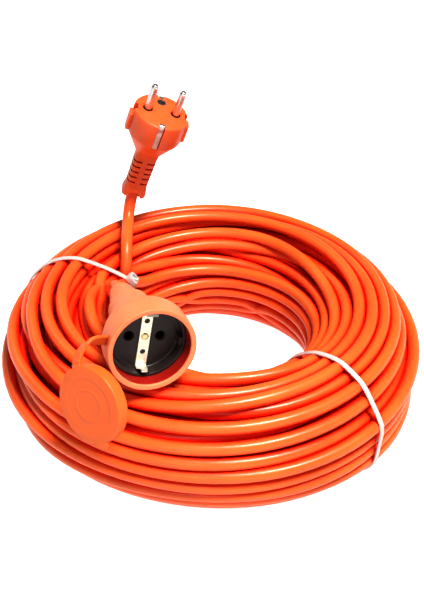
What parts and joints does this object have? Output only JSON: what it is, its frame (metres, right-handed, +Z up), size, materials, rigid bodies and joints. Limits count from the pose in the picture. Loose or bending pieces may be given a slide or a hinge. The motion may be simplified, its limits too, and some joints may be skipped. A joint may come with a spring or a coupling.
{
  "type": "extension cord",
  "caption": "Earthed extension cord in a round tied coil, with a moulded plug and a coupling socket that has a stopper lid on a strap.",
  "frame": {"origin": "centre of the coil's footprint, on the surface that the coil lies on", "axes": "+Z up along the coil's axis; the socket's mouth points towards -Y and its lid hangs on the -X side; the plug's pins point up"},
  "size_m": [0.278, 0.278, 0.2002],
  "materials": {
    "cord_pvc": "semi-gloss orange-red PVC sheath",
    "housing_pvc": "satin soft PVC, paler orange than the cord",
    "insulator": "satin black thermoset",
    "tie_nylon": "translucent white nylon",
    "nickel": "nickel plate, slightly warm",
    "brass": "bare brass",
    "core_brown": "brown core insulation",
    "core_blue": "light blue core insulation",
    "core_green_yellow": "green and yellow core insulation"
  },
  "bodies": {
    "cord_set": {"cable_tie_left": "tie_nylon", "cable_tie_right": "tie_nylon", "contact_line": "brass", "contact_neutral": "brass", "cord_coil": "cord_pvc", "cord_plug_lead": "cord_pvc", "cord_socket_lead": "cord_pvc", "earth_rivet": "brass", "lid_strap_root": "housing_pvc", "pin_line": "nickel", "pin_neutral": "nickel", "plug_body": "housing_pvc", "plug_bridge": "insulator", "plug_core_blue": "core_blue", "plug_core_brown": "core_brown", "plug_core_earth": "core_green_yellow", "plug_crimp_blue": "brass", "plug_crimp_brown": "brass", "plug_crimp_earth": "brass", "plug_earth_clip_far": "nickel", "plug_earth_clip_near": "nickel", "plug_earth_sleeve": "nickel", "socket_body": "housing_pvc", "socket_core_blue": "core_blue", "socket_core_brown": "core_brown", "socket_core_earth": "core_green_yellow", "socket_crimp_blue": "brass", "socket_crimp_brown": "brass", "socket_crimp_earth": "brass", "socket_earth_strip": "nickel", "socket_insert": "insulator", "socket_rear_cover": "housing_pvc", "socket_strain_relief": "housing_pvc"},
    "strap": {"lid_strap_end": "housing_pvc"},
    "lid": {"lid": "housing_pvc"}
  },
  "joints": [
    {"name": "lid_swing", "type": "hinge", "parent": "cord_set", "child": "strap", "pos_m": [-0.06589, -0.1109, 0.13766], "axis": [-0.0152, -0.6313, 0.7754], "range_deg": [0, 80]},
    {"name": "lid_press", "type": "slide", "parent": "strap", "child": "lid", "axis": [0.5934, 0.7673, -0.2432], "range_m": [0, 0.005]}
  ]
}
